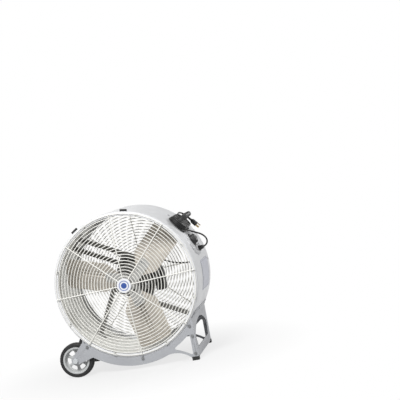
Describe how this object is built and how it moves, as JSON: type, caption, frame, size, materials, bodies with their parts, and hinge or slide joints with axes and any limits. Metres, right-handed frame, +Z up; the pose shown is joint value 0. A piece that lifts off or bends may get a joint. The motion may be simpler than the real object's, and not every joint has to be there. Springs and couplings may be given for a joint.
{
  "type": "drum fan",
  "caption": "Portable drum fan: a white steel barrel with domed wire guards, paddle blades and a motor inside, on a grey cradle with wheels, a carrying handle and a wound cord.",
  "frame": {"origin": "on the floor, under the middle of the fan's outline without its cord", "axes": "+Z up, the front guard faces -Y, the wheels are at -X and the feet at +X"},
  "size_m": [0.8002, 0.4842, 0.779],
  "materials": {
    "white_paint": "semi-gloss",
    "wire_paint": "semi-gloss",
    "cradle_paint": "satin",
    "zinc": "satin",
    "rubber": "matte",
    "tyre": "matte",
    "rim_plastic": "satin",
    "blade_metal": "satin",
    "hub_metal": "satin",
    "shaft_steel": "satin",
    "dark_paint": "satin",
    "black_plastic": "matte",
    "can_metal": "satin",
    "cord_rubber": "matte",
    "nameplate_foil": "satin",
    "pin_brass": "polished"
  },
  "bodies": {
    "fan_frame": {"axle": "zinc", "axle_caps": "zinc", "axle_collars": "zinc", "axle_washers": "zinc", "capacitor": "can_metal", "clip_screws": "zinc", "control_case": "black_plastic", "control_plate": "white_paint", "cord_gland": "black_plastic", "drum_housing": "white_paint", "drum_rivets": "zinc", "end_panel": "cradle_paint", "foot_pads": "rubber", "frame_bolts": "zinc", "frame_brackets": "cradle_paint", "front_center_disc": "wire_paint", "front_frame_plate": "cradle_paint", "front_grille": "wire_paint", "grille_clips": "zinc", "handle_bolts": "zinc", "handle_grip": "black_plastic", "motor_bearings": "shaft_steel", "motor_bolts": "zinc", "motor_cable": "cord_rubber", "motor_front_bell": "dark_paint", "motor_mount_plate": "dark_paint", "motor_rear_bell": "dark_paint", "motor_shell": "dark_paint", "motor_stator": "shaft_steel", "motor_struts": "dark_paint", "mount_bolts": "zinc", "nameplate": "nameplate_foil", "plug": "black_plastic", "plug_pins": "pin_brass", "power_cord_coil": "cord_rubber", "power_cord_lead": "cord_rubber", "power_cord_tail": "cord_rubber", "rear_center_disc": "wire_paint", "rear_frame_plate": "cradle_paint", "rear_grille": "wire_paint", "rim_pads": "rubber", "rotary_switch": "black_plastic", "switch_bezel": "black_plastic", "wiring_box": "black_plastic", "wiring_box_cover": "black_plastic", "wrap_base": "black_plastic"},
    "rotor": {"motor_shaft": "shaft_steel", "rotor_core": "shaft_steel", "blade_hub": "hub_metal", "blade_1": "blade_metal", "blade_2": "blade_metal", "blade_3": "blade_metal", "blade_rivets": "zinc", "hub_set_screws": "zinc"},
    "front_wheel": {"front_tyre": "tyre", "front_wheel_rim": "rim_plastic"},
    "rear_wheel": {"rear_tyre": "tyre", "rear_wheel_rim": "rim_plastic"},
    "speed_knob": {"switch_knob": "black_plastic", "switch_stem": "zinc"}
  },
  "joints": [
    {"name": "rotor_spin", "type": "hinge", "parent": "fan_frame", "child": "rotor", "pos_m": [0.01627, 0, 0.4155], "axis": [0, -1, 0], "continuous": true},
    {"name": "front_wheel_roll", "type": "hinge", "parent": "fan_frame", "child": "front_wheel", "pos_m": [-0.30173, -0.17435, 0.0855], "axis": [0, 1, 0], "continuous": true},
    {"name": "rear_wheel_roll", "type": "hinge", "parent": "fan_frame", "child": "rear_wheel", "pos_m": [-0.30173, 0.17435, 0.0855], "axis": [0, 1, 0], "continuous": true},
    {"name": "speed_knob_turn", "type": "hinge", "parent": "fan_frame", "child": "speed_knob", "pos_m": [0.34183, -0.014, 0.55706], "axis": [0.9171, 0, 0.3987], "range_deg": [-90, 0]}
  ]
}
